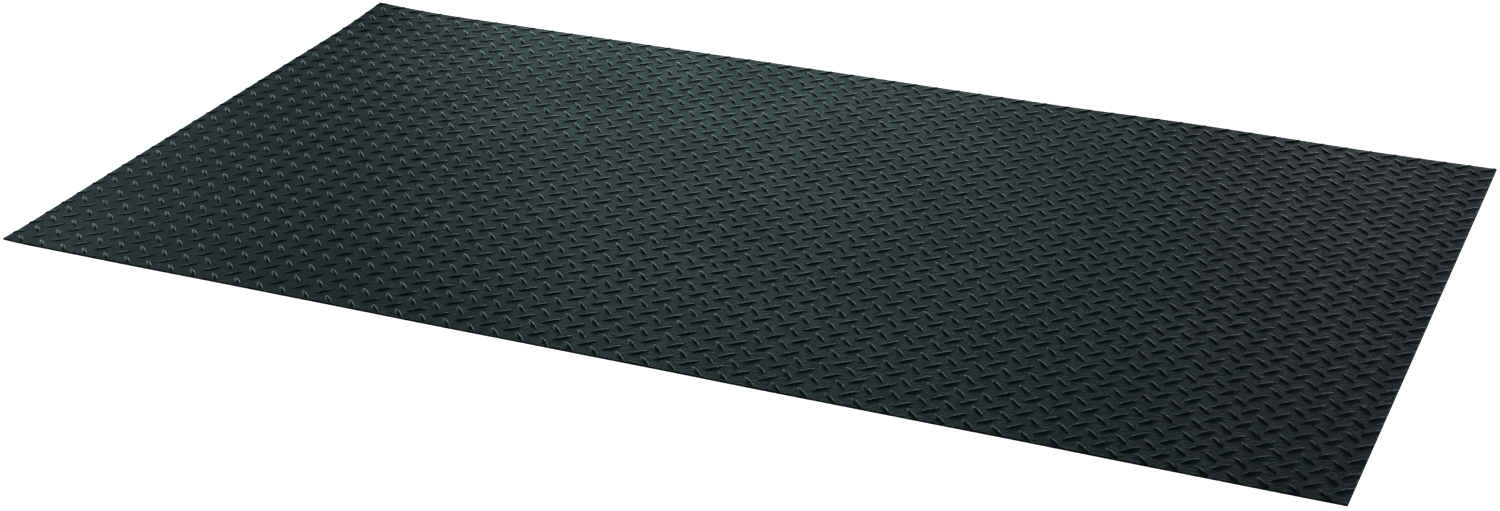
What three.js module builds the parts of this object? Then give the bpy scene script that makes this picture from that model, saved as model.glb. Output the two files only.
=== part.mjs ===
// Anti-fatigue mat: a thin sheet laminate, cut square from roll stock and laid flat on a floor.
//
// Units are millimetres. +X runs along the length, +Y across the width and +Z up.
// The origin is the middle of the underside, on the floor.
//
// From the floor up, the laminate is a non-slip backing, a foam cushion, the film that bonds
// the cushion to the wear layer, and the wear layer itself, with its raised diamond tread.

import * as THREE from "three";

// Cut size. The width is a standard three-foot roll.
const LENGTH = 1690;
const WIDTH = 914;

// Layer thicknesses.
const BACKING_THICKNESS = 0.3;
const FOAM_THICKNESS = 1.0;
const FILM_THICKNESS = 0.1;
const WEB_THICKNESS = 1.0;
const LUG_HEIGHT = 0.8;

// The tread lugs are moulded in one with the wear layer. Its solid reaches from the bond film
// to the tops of the lugs, which is the plane that a shoe or a chair stands on.
const TREAD_THICKNESS = WEB_THICKNESS + LUG_HEIGHT;

// Height of each layer's lower face above the floor.
const BACKING_BOTTOM = 0;
const FOAM_BOTTOM = BACKING_BOTTOM + BACKING_THICKNESS;
const FILM_BOTTOM = FOAM_BOTTOM + FOAM_THICKNESS;
const TREAD_BOTTOM = FILM_BOTTOM + FILM_THICKNESS;

// Finishes.
const BACKING_BLACK = new THREE.MeshStandardMaterial({
  color: 0x1d2021,
  roughness: 0.9,
  metalness: 0,
});
const FOAM_GREY = new THREE.MeshStandardMaterial({
  color: 0x2b2e2f,
  roughness: 0.95,
  metalness: 0,
});
const FILM_BLACK = new THREE.MeshStandardMaterial({
  color: 0x242422,
  roughness: 0.4,
  metalness: 0,
});
const TREAD_BLACK = new THREE.MeshStandardMaterial({
  color: 0x262e30,
  roughness: 0.5,
  metalness: 0,
});

// One layer of the laminate: a full-size slab standing on the layer below it.
function layer(name, bottom, thickness, material) {
  const slab = new THREE.BoxGeometry(LENGTH, WIDTH, thickness);
  slab.translate(0, 0, thickness / 2);
  const mesh = new THREE.Mesh(slab, material);
  mesh.name = name;
  mesh.position.z = bottom;
  return mesh;
}

const mat = new THREE.Group();
mat.add(
  layer("grip_backing", BACKING_BOTTOM, BACKING_THICKNESS, BACKING_BLACK),
  layer("foam_core", FOAM_BOTTOM, FOAM_THICKNESS, FOAM_GREY),
  layer("bond_film", FILM_BOTTOM, FILM_THICKNESS, FILM_BLACK),
  layer("tread_sheet", TREAD_BOTTOM, TREAD_THICKNESS, TREAD_BLACK),
);

export default mat;
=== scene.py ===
"""Anti-fatigue mat: the laid sheet laminate with its diamond tread, in metres, +Z up.

The mat is four bonded layers. Each is built flat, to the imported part's outline, and is then laid
over the same gentle ripples, so that the layers stay in touch all over.
"""

import math

import bmesh
import bpy
import numpy as np
from mathutils import Matrix, Vector
from mathutils.geometry import delaunay_2d_cdt


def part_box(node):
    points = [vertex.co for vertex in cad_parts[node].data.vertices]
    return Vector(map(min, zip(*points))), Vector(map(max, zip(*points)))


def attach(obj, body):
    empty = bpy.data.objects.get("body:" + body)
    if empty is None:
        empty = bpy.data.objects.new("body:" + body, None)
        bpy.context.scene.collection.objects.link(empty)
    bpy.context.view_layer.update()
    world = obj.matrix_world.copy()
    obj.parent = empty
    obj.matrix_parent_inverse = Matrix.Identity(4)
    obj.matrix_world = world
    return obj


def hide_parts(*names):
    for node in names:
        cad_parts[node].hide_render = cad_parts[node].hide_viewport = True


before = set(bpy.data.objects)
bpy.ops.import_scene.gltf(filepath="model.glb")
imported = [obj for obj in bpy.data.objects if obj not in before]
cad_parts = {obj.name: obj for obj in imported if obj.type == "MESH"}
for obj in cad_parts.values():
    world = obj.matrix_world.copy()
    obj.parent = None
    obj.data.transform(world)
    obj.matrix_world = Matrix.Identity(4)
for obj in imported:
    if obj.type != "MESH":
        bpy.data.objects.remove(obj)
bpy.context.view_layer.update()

# ---------------------------------------------------------------- sizes

MILLIMETRE = 0.001

# Tread: lugs in two crossed directions, on a nearly square pattern. A lug's length and width are
# in pitches.
PITCHES_ALONG = 52.4
PITCHES_ACROSS = 28.0
LUG_LENGTH = 0.83
LUG_WIDTH = 0.20
LUG_HEIGHT = 0.8 * MILLIMETRE

# Where the pattern starts, in pitches from the front left corner.
PATTERN_START = (0.62, 0.28)

# The two directions of lug: how far their cells are shifted both ways, in pitches, and how far
# the lugs are turned from the mat's length.
LUG_DIRECTIONS = ((0.0, math.radians(-45)), (0.5, math.radians(45)))

# Stations along half a lug, from its middle towards its tip, as a share of half its length, and
# rows across half of it, from its foot towards its crest, as a share of half its width.
LUG_STATIONS = (0.32, 0.76)
LUG_ROWS = (1.0, 0.76, 0.44)

# Grid step of the plain faces, and the closest that two points of a mesh may be.
STEP = 14 * MILLIMETRE
WELD = 1e-6

# Faces of a plate that meet at more than this angle have a sharp edge between them.
CREASE_ANGLE = math.radians(5)

# Underside: flat pads between V-shaped grooves.
PAD_PITCH = 19.05 * MILLIMETRE
GROOVE_WIDTH = 2.6 * MILLIMETRE
GROOVE_DEPTH = 0.18 * MILLIMETRE

low_tread, high_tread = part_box("tread_sheet")
LEFT, FRONT = low_tread.x, low_tread.y
RIGHT, BACK = high_tread.x, high_tread.y
LENGTH = RIGHT - LEFT
WIDTH = BACK - FRONT
PITCH_X = LENGTH / PITCHES_ALONG
PITCH_Y = WIDTH / PITCHES_ACROSS
WEB_TOP = high_tread.z - LUG_HEIGHT


def even_steps(low, high, step):
    """Even places from low to high, about a step apart."""
    return np.linspace(low, high, round((high - low) / step) + 1)


# ---------------------------------------------------------------- camera

# Where the camera stands and aims. The lens and the sensor are in millimetres.
AIM = Vector((0.0424, -0.1430, 0.0))
CAMERA_DISTANCE = 3.205
CAMERA_AZIMUTH = math.radians(24.08)
CAMERA_ELEVATION = math.radians(25.57)
CAMERA_ROLL = math.radians(0.86)
CAMERA_LENS = 62.48
SENSOR_WIDTH = 36.0


def add_camera():
    """The camera, which looks across the mat from its front right."""
    back = Vector(
        (
            math.sin(CAMERA_AZIMUTH) * math.cos(CAMERA_ELEVATION),
            -math.cos(CAMERA_AZIMUTH) * math.cos(CAMERA_ELEVATION),
            math.sin(CAMERA_ELEVATION),
        )
    )
    data = bpy.data.cameras.new("camera")
    data.lens = CAMERA_LENS
    data.sensor_width = SENSOR_WIDTH
    camera = bpy.data.objects.new("camera", data)
    aim = (-back).to_track_quat("-Z", "Y").to_matrix().to_4x4()
    roll = Matrix.Rotation(-CAMERA_ROLL, 4, "Z")
    camera.matrix_world = Matrix.Translation(AIM + back * CAMERA_DISTANCE) @ aim @ roll
    bpy.context.scene.collection.objects.link(camera)
    bpy.context.scene.camera = camera


# ---------------------------------------------------------------- how the mat lies

# Corners that have stayed curled from the roll: place, height and reach.
CURLS = (
    ((LEFT, FRONT), 1.2 * MILLIMETRE, 0.045),
    ((LEFT, BACK), 5.2 * MILLIMETRE, 0.16),
    ((RIGHT, BACK), 0.8 * MILLIMETRE, 0.15),
)

# Waves that lift the back edge: place along it, height, half length and reach into the mat.
EDGE_WAVES = (
    (LEFT + 0.77 * LENGTH, 1.6 * MILLIMETRE, 0.22, 0.34),
    (LEFT + 0.36 * LENGTH, 0.5 * MILLIMETRE, 0.25, 0.28),
)

# Shallow rolls left in the sheet: height, wavelength, heading and phase.
ROLLS = (
    (0.30 * MILLIMETRE, 0.47, math.radians(4), 0.4),
    (0.14 * MILLIMETRE, 0.205, math.radians(-7), 2.1),
    (0.16 * MILLIMETRE, 0.34, math.radians(76), 1.2),
)


def bell(distance):
    """A smooth bump, 1 at 0 and 0 from 1 outwards."""
    return (1 - np.clip(np.abs(distance), 0, 1) ** 2) ** 2


def ripple(x, y):
    """Height of the laid mat above flat. No term is negative, so nothing dips into the floor."""
    height = np.zeros_like(x)
    for place, lift, reach in CURLS:
        distance = np.hypot(x - place[0], y - place[1])
        height += lift * np.clip(1 - distance / reach, 0, 1) ** 2
    for place, lift, half_length, reach in EDGE_WAVES:
        fade = np.clip(1 - (BACK - y) / reach, 0, 1) ** 2
        height += lift * fade * bell((x - place) / half_length)
    for lift, wavelength, heading, phase in ROLLS:
        along = x * math.cos(heading) + y * math.sin(heading)
        height += lift * (1 + np.cos(math.tau * along / wavelength + phase)) / 2
    return height


def lay(mesh):
    """Lays a flat layer's mesh over the ripples."""
    points = np.empty(len(mesh.vertices) * 3)
    mesh.vertices.foreach_get("co", points)
    points = points.reshape(-1, 3)
    points[:, 2] += ripple(points[:, 0], points[:, 1])
    mesh.vertices.foreach_set("co", points.ravel())
    mesh.update()


def add_piece(name, mesh, node, slot, *materials):
    """Lays a layer of the mat, made from its flat mesh, in place of its plain solid."""
    lay(mesh)
    for material in materials:
        mesh.materials.append(material)
    piece = bpy.data.objects.new(name, mesh)
    bpy.context.scene.collection.objects.link(piece)
    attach(piece, "root")
    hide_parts(node)
    return piece


# ---------------------------------------------------------------- tread sheet


def lug_half_width(station):
    """Half the width of a lug's outline, in pitches, with station from -1 to 1 along it."""
    return LUG_WIDTH / 2 * (1 - station**2)


def lug_rise(station, across):
    """Height of a lug, from 0 to 1: a flat top with steep sides and ends.

    Station is from -1 to 1 along the lug, and across is from 0 to 1 to either side.
    """
    return (1 - station**4) * (1 - across**4)


def lug_cell():
    """One cell of the tread, in pitches: a lug along +X in the middle of its share of the web.

    Cells are squares turned 45 degrees to the mat. A lug's tips reach past the cell's sides into
    the next cell, so each side bends out at a tip and in beside a lug.
    """
    stations = sorted(s * side for s in LUG_STATIONS for side in (-1, 1))
    # From the foot on one side, over the crest, to the foot on the other side.
    rows = [(side, share) for side in (-1, 1) for share in LUG_ROWS[::-side]]
    corner = 1 / (2 * math.sqrt(2))
    tip = LUG_LENGTH / 2
    dent = 1 / math.sqrt(2) - tip
    points, faces = [], []

    def add(x, y, z=0.0):
        points.append((x, y, z))
        return len(points) - 1

    tips = (add(-tip, 0), add(tip, 0))
    grid = [
        [add(s * tip, side * a * lug_half_width(s), lug_rise(s, a)) for s in stations]
        for side, a in rows
    ]
    for near, far in zip(grid, grid[1:]):
        faces.append((tips[0], near[0], far[0]))
        faces.append((tips[1], far[-1], near[-1]))
        faces += zip(near, near[1:], far[1:], far)
    for side, foot in ((-1, grid[0]), (1, grid[-1])):
        left, right = add(-corner, side * corner), add(corner, side * corner)
        middle = add(0, side * dent)
        web = [(left, foot[0], tips[0]), (right, tips[1], foot[-1])]
        web += [(left, foot[1], foot[0]), (right, foot[-1], foot[-2])]
        web += [(left, middle, foot[1]), (right, foot[-2], middle)]
        web.append((middle, foot[-2], foot[1]))
        # Turned over on one side, so that all the faces look up.
        faces += [face[::-side] for face in web]
    return np.array(points), faces


def tread_pattern():
    """Vertices and faces of the lugs and the web, over a little more than the mat's outline."""
    points, faces = lug_cell()
    all_points, all_faces = [], []
    for shift, angle in LUG_DIRECTIONS:
        spin = np.array(
            [
                [math.cos(angle), math.sin(angle)],
                [-math.sin(angle), math.cos(angle)],
            ]
        )
        turned = points.copy()
        turned[:, :2] = points[:, :2] @ spin
        for i in range(-1, int(PITCHES_ALONG) + 2):
            for j in range(-1, int(PITCHES_ACROSS) + 2):
                start = len(all_points) * len(points)
                place = (i + shift + PATTERN_START[0], j + shift + PATTERN_START[1], 0)
                all_points.append(turned + place)
                all_faces += [tuple(v + start for v in face) for face in faces]
    points = np.concatenate(all_points) * (PITCH_X, PITCH_Y, LUG_HEIGHT)
    return points + (LEFT, FRONT, WEB_TOP), all_faces


def weld(points, faces):
    """Joins the points that cells share. No two of a tread's points are one above the other."""
    keys = np.round(points[:, :2] / WELD).astype(np.int64)
    _, first, same = np.unique(keys, axis=0, return_index=True, return_inverse=True)
    same = same.reshape(-1)
    return points[first], [tuple(int(same[v]) for v in face) for face in faces]


def trim(bm):
    """Cuts a sheet to the mat's outline."""
    sides = (
        ((LEFT, 0, 0), (-1, 0, 0)),
        ((RIGHT, 0, 0), (1, 0, 0)),
        ((0, FRONT, 0), (0, -1, 0)),
        ((0, BACK, 0), (0, 1, 0)),
    )
    for place, outwards in sides:
        bmesh.ops.bisect_plane(
            bm,
            geom=bm.verts[:] + bm.edges[:] + bm.faces[:],
            dist=WELD,
            plane_co=place,
            plane_no=outwards,
            clear_outer=True,
        )


def close_below(bm, bottom):
    """Adds the cut walls and an even underside to an open sheet."""
    bm.verts.index_update()
    rim = [e for e in bm.edges if e.is_boundary]
    made = bmesh.ops.extrude_edge_only(bm, edges=rim)["geom"]
    low_rim = [e for e in made if isinstance(e, bmesh.types.BMEdge) and e.is_boundary]
    low_verts = sorted({v for e in low_rim for v in e.verts}, key=lambda v: v.index)
    for v in low_verts:
        v.co.z = bottom
    place = {v: k for k, v in enumerate(low_verts)}
    flat = [v.co.xy for v in low_verts]
    for x in even_steps(LEFT, RIGHT, STEP)[1:-1]:
        for y in even_steps(FRONT, BACK, STEP)[1:-1]:
            flat.append(Vector((x, y)))
    edges = [(place[e.verts[0]], place[e.verts[1]]) for e in low_rim]
    inside = 1
    _, _, triangles, sources, _, _ = delaunay_2d_cdt(flat, edges, [], inside, WELD)
    verts = list(low_verts)
    verts += [bm.verts.new((p.x, p.y, bottom)) for p in flat[len(low_verts) :]]
    for triangle in triangles:
        corners = [verts[sources[k][0]] for k in triangle]
        bm.faces.new(corners[::-1])


# Material slots of the tread sheet, the ways that its cut walls face, and how far up the normal
# of a lug's face points at the least.
FACE_SLOT, CUT_SLOT = 0, 1
CUT_SIDES = {(-1, 0), (1, 0), (0, -1), (0, 1)}
UPWARD = 0.5


def face_kind(face):
    """Which smooth area of the tread sheet a face is in: web, lug, underside or a cut wall."""
    if all(abs(v.co.z - WEB_TOP) < WELD for v in face.verts):
        return "web"
    if face.normal.z > UPWARD:
        return "lug"
    return (round(face.normal.x), round(face.normal.y))


def mark_creases(bm):
    """Keeps the feet of the lugs and the cut edges sharp, and the rest smooth."""
    bm.normal_update()
    kinds = {}
    for face in bm.faces:
        face.smooth = True
        kinds[face] = face_kind(face)
        face.material_index = CUT_SLOT if kinds[face] in CUT_SIDES else FACE_SLOT
    for edge in bm.edges:
        edge.smooth = len({kinds[face] for face in edge.link_faces}) == 1


def store_rise(mesh):
    """Keeps each point's height on its lug, from 0 to 1, for the material to read."""
    points = np.empty(len(mesh.vertices) * 3)
    mesh.vertices.foreach_get("co", points)
    rise = np.clip((points[2::3] - WEB_TOP) / LUG_HEIGHT, 0, 1)
    mesh.attributes.new("rise", "FLOAT", "POINT").data.foreach_set("value", rise)


def tread_mesh():
    """The tread sheet: the pattern trimmed to the outline, with its walls and underside."""
    points, faces = weld(*tread_pattern())
    mesh = bpy.data.meshes.new("tread")
    mesh.from_pydata(points.tolist(), [], faces)
    bm = bmesh.new()
    bm.from_mesh(mesh)
    trim(bm)
    close_below(bm, low_tread.z)
    mark_creases(bm)
    bm.to_mesh(mesh)
    bm.free()
    store_rise(mesh)
    return mesh


# ---------------------------------------------------------------- lower layers


def plate_mesh(name, xs, ys, bottom, top):
    """A closed plate over a grid. Its bottom and top are a height, or one height for each point."""
    columns, rows = len(xs), len(ys)
    grid_x, grid_y = np.meshgrid(xs, ys, indexing="ij")
    layers = []
    for height in (bottom, top):
        grid_z = np.broadcast_to(height, grid_x.shape)
        layers.append(np.stack([grid_x, grid_y, grid_z], axis=-1).reshape(-1, 3))
    place = np.arange(columns * rows).reshape(columns, rows)
    upper = columns * rows

    def quads(a, b, c, d):
        return np.stack([a, b, c, d], axis=-1).reshape(-1, 4)

    cells = quads(place[:-1, :-1], place[1:, :-1], place[1:, 1:], place[:-1, 1:])
    # Once round the outline, and back to the first point.
    rim = np.concatenate(
        [place[:, 0], place[-1, 1:], place[-2::-1, -1], place[0, -2::-1]]
    )
    walls = quads(rim[:-1], rim[1:], rim[1:] + upper, rim[:-1] + upper)
    faces = np.concatenate([cells[:, ::-1], cells + upper, walls])
    mesh = bpy.data.meshes.new(name)
    mesh.from_pydata(np.concatenate(layers).tolist(), [], faces.tolist())
    mesh.shade_smooth()
    mesh.set_sharp_from_angle(angle=CREASE_ANGLE)
    return mesh


def layer_mesh(name, node):
    """A plain layer, as thick as its solid."""
    low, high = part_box(node)
    xs = even_steps(LEFT, RIGHT, STEP)
    ys = even_steps(FRONT, BACK, STEP)
    return plate_mesh(name, xs, ys, low.z, high.z)


def grooved_steps(low, high):
    """Grid places for the grooves and pads between two sides, and which places are in a groove."""
    places, groove = [low], [0.0]
    middles = even_steps(low, high, PAD_PITCH)[1:-1]
    for middle in middles:
        places += [middle - GROOVE_WIDTH / 2, middle, middle + GROOVE_WIDTH / 2]
        groove += [0.0, 1.0, 0.0]
    return np.array(places + [high]), np.array(groove + [0.0])


def backing_mesh():
    """The non-slip skin, with its grid of grooves underneath."""
    low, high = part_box("grip_backing")
    xs, groove_x = grooved_steps(LEFT, RIGHT)
    ys, groove_y = grooved_steps(FRONT, BACK)
    in_groove = np.maximum(groove_x[:, None], groove_y[None, :])
    return plate_mesh("backing", xs, ys, low.z + GROOVE_DEPTH * in_groove, high.z)


# ---------------------------------------------------------------- materials

# Inputs and output of a colour mix node, which has several of each name.
MIX_SHARE, MIX_FIRST, MIX_SECOND = 0, 6, 7
MIX_RESULT = 2

# The range that soft noise keeps to, and the middle of it.
NOISE_RANGE = (0.3, 0.7)
NOISE_MIDDLE = (0.35, 0.65)


class Graph:
    """A material's node graph, built in short calls. An input is a number, a colour or a socket."""

    def __init__(self, name):
        self.material = bpy.data.materials.new(name)
        self.material.use_nodes = True
        self.tree = self.material.node_tree
        self.shader = self.tree.nodes["Principled BSDF"]
        self.place = self.node("ShaderNodeTexCoord").outputs["Object"]

    def node(self, kind, inputs=None, **settings):
        """Adds a node with its settings and inputs."""
        made = self.tree.nodes.new(kind)
        for name, value in settings.items():
            setattr(made, name, value)
        self.fill(made, inputs or {})
        return made

    def fill(self, node, inputs):
        """Links or sets a node's inputs."""
        for name, value in inputs.items():
            if isinstance(value, bpy.types.NodeSocket):
                self.tree.links.new(value, node.inputs[name])
            else:
                node.inputs[name].default_value = value

    def noise(self, size, detail, stretch=(1, 1, 1)):
        """Soft noise from 0 to 1, with features of about the size given."""
        scaled = self.node("ShaderNodeMapping", {"Vector": self.place, "Scale": stretch})
        inputs = {"Vector": scaled.outputs["Vector"], "Scale": 1 / size, "Detail": detail}
        return self.node("ShaderNodeTexNoise", inputs).outputs["Fac"]

    def remap(self, value, source, target):
        """Maps a value from one range to another, held at the ends."""
        inputs = {
            "Value": value,
            "From Min": source[0],
            "From Max": source[1],
            "To Min": target[0],
            "To Max": target[1],
        }
        return self.node("ShaderNodeMapRange", inputs).outputs["Result"]

    def math(self, operation, first, second):
        """A sum or product, or another operation on two values."""
        inputs = {0: first, 1: second}
        return self.node("ShaderNodeMath", inputs, operation=operation).outputs["Value"]

    def mix(self, share, first, second):
        """A colour between two, by a share from 0 to 1."""
        inputs = {MIX_SHARE: share, MIX_FIRST: first, MIX_SECOND: second}
        return self.node("ShaderNodeMix", inputs, data_type="RGBA").outputs[MIX_RESULT]

    def bump(self, height, depth, strength=1.0, normal=None):
        """Bumps that stand as high as depth, on top of any bumps that normal already holds."""
        inputs = {"Height": height, "Strength": strength, "Distance": depth}
        if normal is not None:
            inputs["Normal"] = normal
        return self.node("ShaderNodeBump", inputs).outputs["Normal"]

    def mottled(self, noise, dark, light):
        """A colour that wanders between two with soft noise."""
        return self.mix(self.remap(noise, NOISE_MIDDLE, (0, 1)), dark, light)

    def wander(self, noise, low, high):
        """A value that wanders from low to high with soft noise."""
        return self.remap(noise, NOISE_RANGE, (low, high))

    def surface(self, inputs):
        """Fills in the shader of the surface, and gives back the material."""
        self.fill(self.shader, inputs)
        return self.material


TREAD_DARK = (0.005, 0.009, 0.010, 1)
TREAD_LIGHT = (0.008, 0.015, 0.016, 1)
TREAD_WORN = (0.014, 0.023, 0.025, 1)
TREAD_SHEEN_TINT = (0.45, 0.97, 1.0, 1)
WEB_ROUGHNESS = 0.44
LUG_ROUGHNESS = 0.21

# How far up a lug, from 0 to 1, its top is rubbed, its finish takes over from the web's, and the
# web's pebble fades. The lug keeps a share of the pebble.
RUBBED_RISE = (0.55, 1.0)
FINISH_RISE = (0.0, 0.12)
PEBBLE_RISE = (0.0, 0.1)
PEBBLE_ON_LUG = 0.15

# Scuffs run along the mat, and the lugs between them are rubbed a little too. Full rubbing takes
# the colour this share of the way to the worn one.
SCUFF_SIZE = 0.03
SCUFF_STRETCH = (0.35, 1.6, 1)
SCUFF_RANGE = (0.40, 0.62)
RUBBED_LEAST = 0.15
WORN_SHARE = 0.6

# Slow clouds and the pebble each make the tread a little rougher or smoother.
CLOUD_SIZE = 0.16
CLOUD_SHEEN = 0.03
PEBBLE_SHEEN = 0.09

# Sizes and depths of the fine surface features: the web's pebble and grain, the marks on the cut
# wall, the flow marks in the film, the cells of the foam, and the pebble of the skin underneath.
PEBBLE_SIZE, PEBBLE_DEPTH = 3.6 * MILLIMETRE, 0.8 * MILLIMETRE
GRAIN_SIZE, GRAIN_DEPTH = 0.7 * MILLIMETRE, 0.02 * MILLIMETRE
KNIFE_SIZE, KNIFE_DEPTH = 1.5 * MILLIMETRE, 0.05 * MILLIMETRE
FLOW_SIZE, FLOW_DEPTH = 6 * MILLIMETRE, 0.03 * MILLIMETRE
CELL_SIZE, CELL_DEPTH = 0.45 * MILLIMETRE, 0.12 * MILLIMETRE
SKIN_SIZE, SKIN_DEPTH = 0.9 * MILLIMETRE, 0.05 * MILLIMETRE

# The knife's marks are upright. The foam is darker in patches, and the skin underneath is dusty
# in larger ones.
KNIFE_STRETCH = (1, 1, 0.15)
PATCH_SIZE = 9 * MILLIMETRE
DUST_SIZE = 0.05

# The raw cut edge is dull, and reflects little of the pale floor in front of it. The skin
# underneath has a little more shine.
EDGE_SPECULAR = 0.02
BACKING_SPECULAR = 0.35


def tread_material():
    """Black calendered vinyl: a grained web, and smoother lugs that are rubbed on top."""
    graph = Graph("tread_vinyl")
    grain = graph.noise(GRAIN_SIZE, detail=3)
    mottle = graph.noise(PEBBLE_SIZE, detail=3)
    cloud = graph.noise(CLOUD_SIZE, detail=2)
    scuff = graph.noise(SCUFF_SIZE, detail=4, stretch=SCUFF_STRETCH)
    rise = graph.node("ShaderNodeAttribute", attribute_name="rise").outputs["Fac"]

    top = graph.remap(rise, RUBBED_RISE, (0, 1))
    rubbed = graph.math("MULTIPLY", top, graph.remap(scuff, SCUFF_RANGE, (RUBBED_LEAST, 1)))
    web_colour = graph.mottled(mottle, TREAD_DARK, TREAD_LIGHT)
    colour = graph.mix(graph.math("MULTIPLY", rubbed, WORN_SHARE), web_colour, TREAD_WORN)

    sheen = graph.wander(cloud, -CLOUD_SHEEN, CLOUD_SHEEN)
    speckle = graph.wander(mottle, -PEBBLE_SHEEN, PEBBLE_SHEEN)
    base = graph.remap(rise, FINISH_RISE, (WEB_ROUGHNESS, LUG_ROUGHNESS))
    roughness = graph.math("ADD", graph.math("ADD", base, sheen), speckle)

    pebbled = graph.remap(rise, PEBBLE_RISE, (1, PEBBLE_ON_LUG))
    pebble = graph.bump(mottle, PEBBLE_DEPTH, strength=pebbled)
    fine = graph.bump(grain, GRAIN_DEPTH, normal=pebble)
    return graph.surface(
        {
            "Base Color": colour,
            "Roughness": roughness,
            "Normal": fine,
            "Specular Tint": TREAD_SHEEN_TINT,
        }
    )


def cut_material():
    """The wear layer's cut wall: dull, with fine upright marks from the knife."""
    graph = Graph("cut_vinyl")
    marks = graph.noise(KNIFE_SIZE, detail=3, stretch=KNIFE_STRETCH)
    dark, light = (0.001, 0.0015, 0.0015, 1), (0.004, 0.005, 0.0055, 1)
    return graph.surface(
        {
            "Base Color": graph.mottled(marks, dark, light),
            "Roughness": graph.wander(marks, 0.62, 0.80),
            "Normal": graph.bump(marks, KNIFE_DEPTH),
            "Specular IOR Level": EDGE_SPECULAR,
        }
    )


def film_material():
    """A thin dark bond line, smoother than the foam and the vinyl beside it."""
    graph = Graph("bond_film")
    flow = graph.noise(FLOW_SIZE, detail=2)
    dark, light = (0.003, 0.0035, 0.003, 1), (0.007, 0.007, 0.006, 1)
    return graph.surface(
        {
            "Base Color": graph.mottled(flow, dark, light),
            "Roughness": graph.wander(flow, 0.28, 0.42),
            "Normal": graph.bump(flow, FLOW_DEPTH),
            "Specular IOR Level": EDGE_SPECULAR,
        }
    )


def foam_material():
    """Closed-cell foam, with the cut cells showing as small pits."""
    graph = Graph("foam")
    inputs = {"Vector": graph.place, "Scale": 1 / CELL_SIZE}
    cells = graph.node("ShaderNodeTexVoronoi", inputs).outputs["Distance"]
    patches = graph.noise(PATCH_SIZE, detail=3)
    dark, light = (0.0015, 0.002, 0.002, 1), (0.006, 0.007, 0.0075, 1)
    walls = graph.mix(graph.remap(cells, (0.15, 0.6), (0, 1)), dark, light)
    colour = graph.mix(graph.remap(patches, (0.4, 0.7), (0, 0.35)), walls, dark)
    return graph.surface(
        {
            "Base Color": colour,
            "Roughness": graph.wander(patches, 0.88, 0.98),
            "Normal": graph.bump(cells, CELL_DEPTH),
            "Specular IOR Level": EDGE_SPECULAR,
        }
    )


def backing_material():
    """Black non-slip skin with a fine pebble, and dust in patches."""
    graph = Graph("grip_skin")
    pebble = graph.noise(SKIN_SIZE, detail=3)
    dust = graph.noise(DUST_SIZE, detail=5)
    dark, light = (0.007, 0.008, 0.009, 1), (0.017, 0.018, 0.018, 1)
    share = graph.math("MULTIPLY", graph.remap(dust, (0.42, 0.68), (0, 1)), pebble)
    return graph.surface(
        {
            "Base Color": graph.mix(share, dark, light),
            "Roughness": graph.wander(dust, 0.50, 0.78),
            "Normal": graph.bump(pebble, SKIN_DEPTH),
            "Specular IOR Level": BACKING_SPECULAR,
        }
    )


# ---------------------------------------------------------------- stage

TEAL_WHITE = (0.74, 1.0, 1.03)
PLAIN_WHITE = (0.86, 1.0, 1.04)
BLUE_WHITE = (0.89, 0.98, 1.03)

# Soft lights behind the mat and to its left: name, heading from +Y towards -X, distance, height,
# size, power and colour.
PANELS = (
    ("low_left", math.radians(24.5), 6.3, 0.85, (2.4, 1.3), 27.5, TEAL_WHITE),
    ("low_right", math.radians(2.5), 6.0, 0.62, (1.6, 0.9), 14.5, BLUE_WHITE),
    ("side_left", math.radians(57.5), 5.4, 1.6, (2.6, 1.0), 13.5, PLAIN_WHITE),
)

# Soft lights on the other sides, all of one kind.
FILL_HEADINGS = [math.radians(angle) for angle in (-45, -90, -135, 180, 140, 98)]
FILL_DISTANCE = 4.6
FILL_HEIGHT = 3.2
FILL_SIZE = (2.4, 2.6)
FILL_POWER = 15

# Faint light from all round.
WORLD_STRENGTH = 0.014

# Pale floor, which glows a little so that it stays white all over.
FLOOR_COLOUR = (0.85, 0.85, 0.85, 1)
GLOW_COLOUR = (1, 1, 1, 1)
FLOOR_GLOW = 1.05
FLOOR_REACH = 30.0


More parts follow.
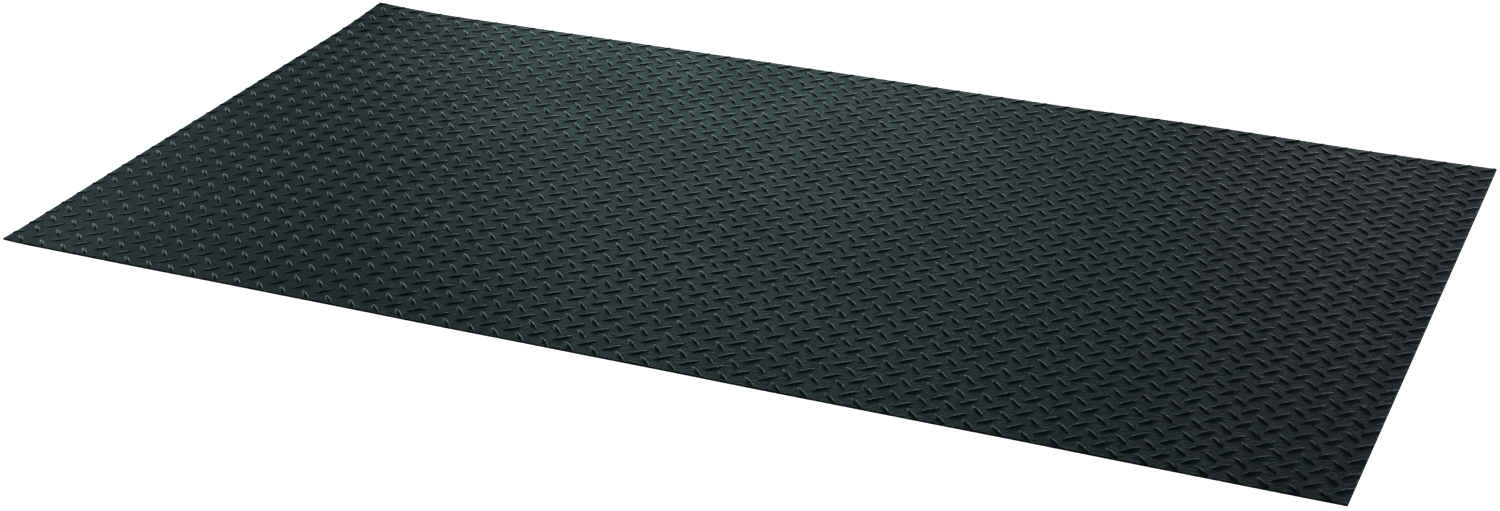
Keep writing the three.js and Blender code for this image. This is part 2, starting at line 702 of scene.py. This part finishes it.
def add_floor():
    """A wide pale floor under the mat."""
    bm = bmesh.new()
    bmesh.ops.create_grid(bm, x_segments=2, y_segments=2, size=FLOOR_REACH)
    mesh = bpy.data.meshes.new("floor")
    bm.to_mesh(mesh)
    bm.free()
    floor = bpy.data.objects.new("floor", mesh)
    bpy.context.scene.collection.objects.link(floor)
    graph = Graph("floor")
    material = graph.surface(
        {
            "Base Color": FLOOR_COLOUR,
            "Roughness": 1.0,
            "Specular IOR Level": 0.0,
            "Emission Color": GLOW_COLOUR,
            "Emission Strength": FLOOR_GLOW,
        }
    )
    mesh.materials.append(material)


def add_panel(name, heading, distance, height, size, power, colour):
    """A soft light that faces the middle of the mat."""
    light = bpy.data.lights.new(name, "AREA")
    light.shape = "RECTANGLE"
    light.size, light.size_y = size
    light.energy = power
    light.color = colour
    panel = bpy.data.objects.new(name, light)
    place = Vector((-math.sin(heading) * distance, math.cos(heading) * distance, height))
    panel.location = place
    panel.rotation_euler = (-place).to_track_quat("-Z", "Y").to_euler()
    panel.visible_camera = False
    bpy.context.scene.collection.objects.link(panel)


def add_world():
    """A faint even light from all round."""
    world = bpy.data.worlds.new("studio")
    world.use_nodes = True
    background = world.node_tree.nodes["Background"]
    background.inputs["Color"].default_value = (*TEAL_WHITE, 1)
    background.inputs["Strength"].default_value = WORLD_STRENGTH
    bpy.context.scene.world = world


# ---------------------------------------------------------------- the mat on its stage

add_camera()

backing = add_piece(
    "backing", backing_mesh(), "grip_backing", "backing", backing_material()
)
foam = add_piece(
    "foam", layer_mesh("foam", "foam_core"), "foam_core", "foam", foam_material()
)
film = add_piece(
    "film", layer_mesh("film", "bond_film"), "bond_film", "film", film_material()
)
tread = add_piece(
    "tread", tread_mesh(), "tread_sheet", "tread", tread_material(), cut_material()
)

add_floor()
for panel in PANELS:
    add_panel(*panel)
for heading in FILL_HEADINGS:
    add_panel("fill", heading, FILL_DISTANCE, FILL_HEIGHT, FILL_SIZE, FILL_POWER, BLUE_WHITE)
add_world()
bpy.context.scene.view_settings.view_transform = "Standard"
